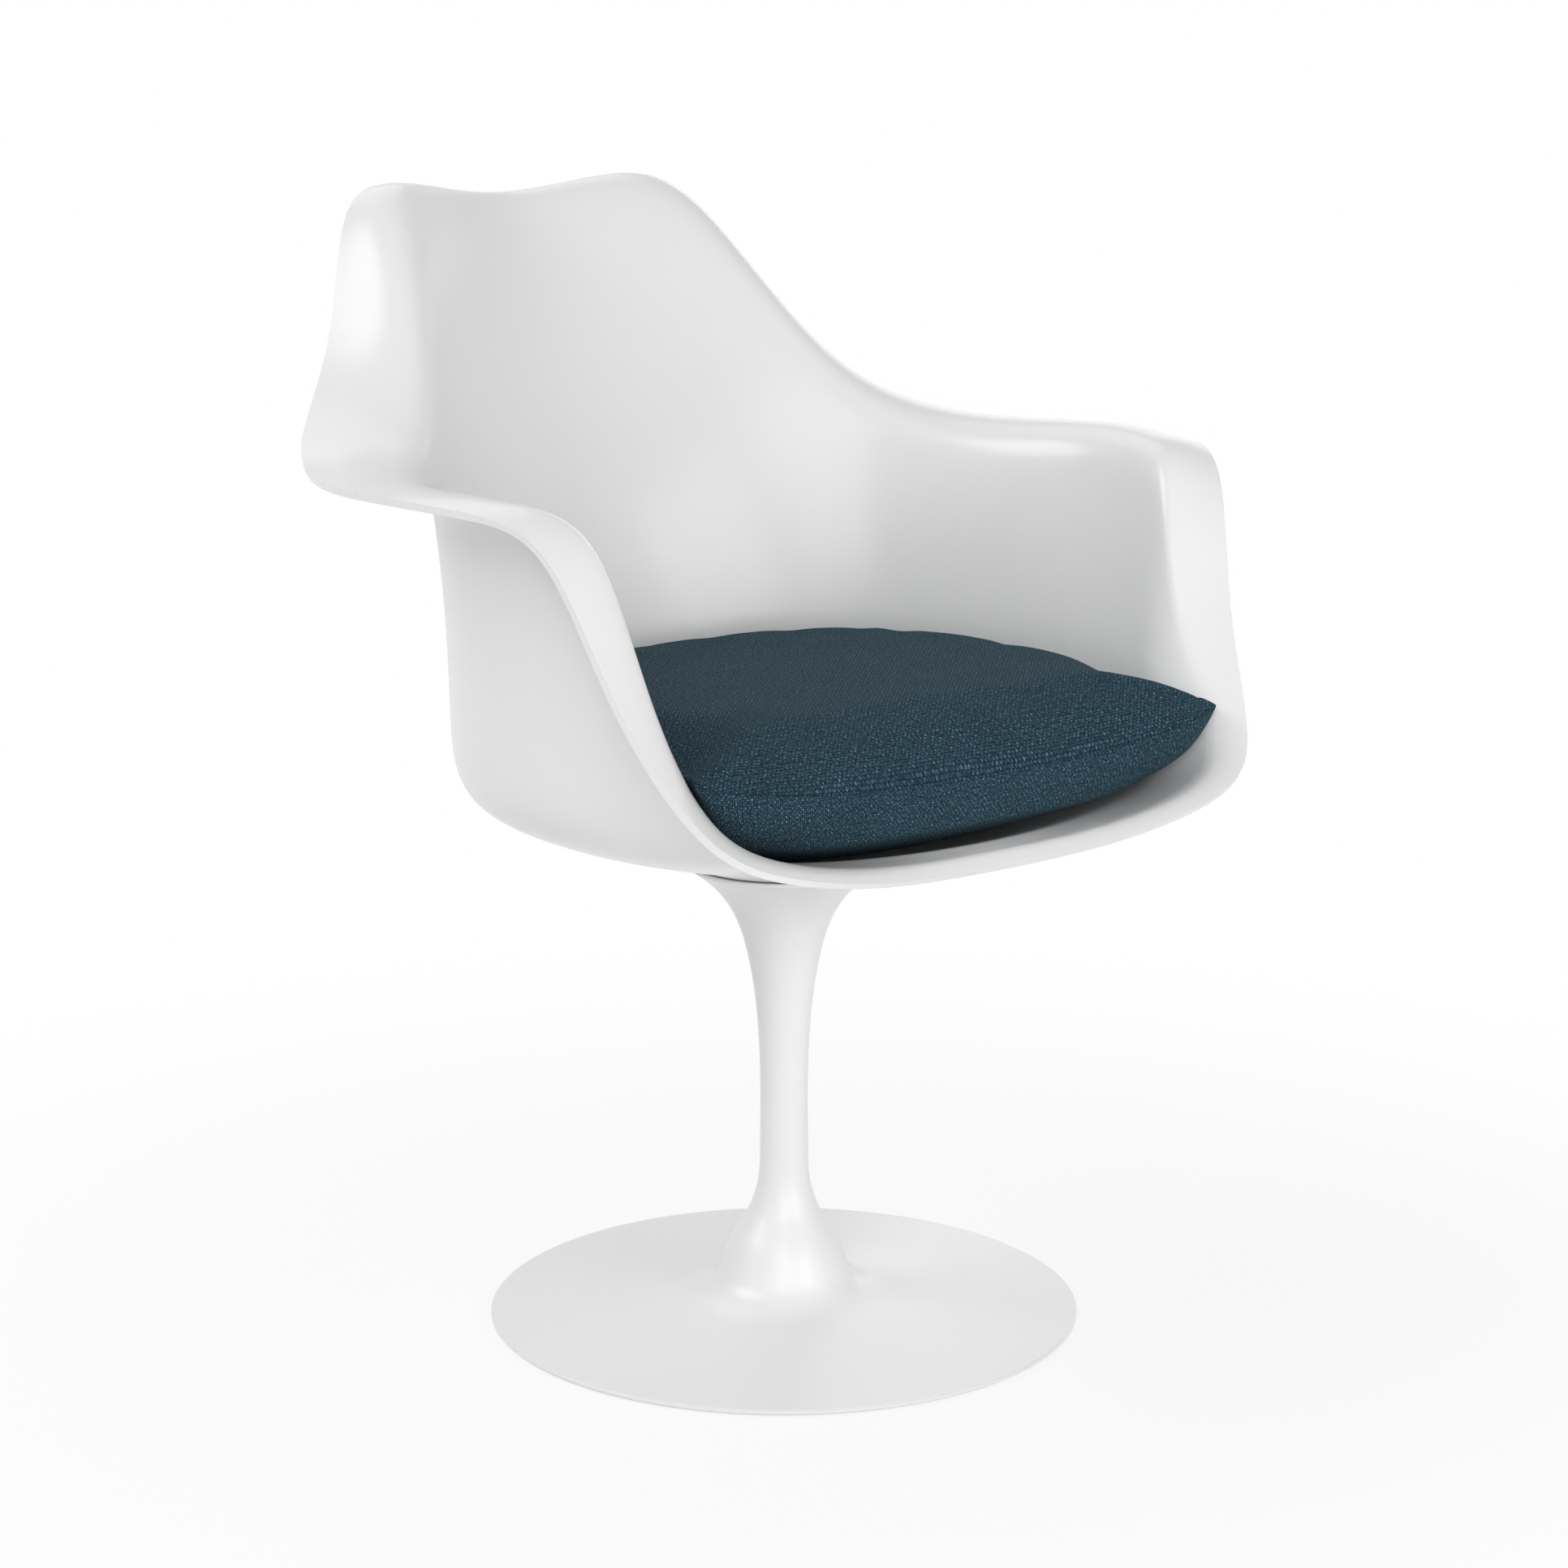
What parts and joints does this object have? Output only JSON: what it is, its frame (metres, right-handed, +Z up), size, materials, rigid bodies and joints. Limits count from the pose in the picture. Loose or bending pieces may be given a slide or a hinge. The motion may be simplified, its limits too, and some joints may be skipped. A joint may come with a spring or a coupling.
{
  "type": "pedestal swivel armchair",
  "caption": "Moulded gloss bucket armchair with a rolled rim, turning on a flared trumpet pedestal, with a fitted removable seat cushion.",
  "frame": {"origin": "the point where the swivel axis meets the floor", "axes": "+Z up along the swivel axis; the sitter faces -Y; +X is the sitter's left; the chair is symmetric about X = 0 but for the zip slider"},
  "size_m": [0.6705, 0.6008, 0.8096],
  "materials": {
    "pedestal_coat": "gloss white powder coat",
    "shell_white": "gloss white, painted over glass-fibre moulding",
    "cast_plate": "black machined casting",
    "bearing_steel": "ground bright steel",
    "bush_bronze": "sintered bronze, plain",
    "cage_polymer": "black moulded polymer",
    "glide_rubber": "matt black",
    "pad_fabric": "black hook and loop tape",
    "foam": "open-cell upholstery foam, pale yellow",
    "weave": "coarse basket weave in teal and navy",
    "zip_cloth": "dark woven zip tape with teeth",
    "zip_metal": "antique brass, satin"
  },
  "bodies": {
    "pedestal": {"pedestal_base": "pedestal_coat", "glide_ring": "glide_rubber", "lower_bush": "bush_bronze", "upper_bush": "bush_bronze", "lower_race": "bearing_steel"},
    "roller_set": {"roller_cage": "cage_polymer", "bearing_rollers": "bearing_steel"},
    "seat": {"upper_race": "bearing_steel", "swivel_plate": "cast_plate", "spindle": "bearing_steel", "retaining_washer": "bearing_steel", "retaining_ring": "bearing_steel", "mounting_screws": "bearing_steel", "seat_shell": "shell_white", "hook_pads": "pad_fabric"},
    "cushion": {"cushion_foam": "foam", "cover_bottom_panel": "weave", "cover_boxing": "weave", "cover_top_panel": "weave", "loop_pads": "pad_fabric", "zip_tape": "zip_cloth"},
    "zip_slider": {"zip_slider": "zip_metal"}
  },
  "joints": [
    {"name": "seat_swivel", "type": "hinge", "parent": "pedestal", "child": "seat", "pos_m": [0, 0, 0.329], "axis": [0, 0, 1], "continuous": true},
    {"name": "roller_turn", "type": "hinge", "parent": "pedestal", "child": "roller_set", "pos_m": [0, 0, 0.3235], "axis": [0, 0, 1], "continuous": true},
    {"name": "cushion_lift", "type": "slide", "parent": "seat", "child": "cushion", "axis": [0, 0, 1], "range_m": [0, 0.12]},
    {"name": "zip_pull", "type": "hinge", "parent": "cushion", "child": "zip_slider", "pos_m": [0, -0.2197, 0.43], "axis": [0, 0, 1], "range_deg": [0, 22]}
  ],
  "couplings": [
    {"joint": "roller_turn", "follows": "seat_swivel", "ratio": 0.5}
  ]
}
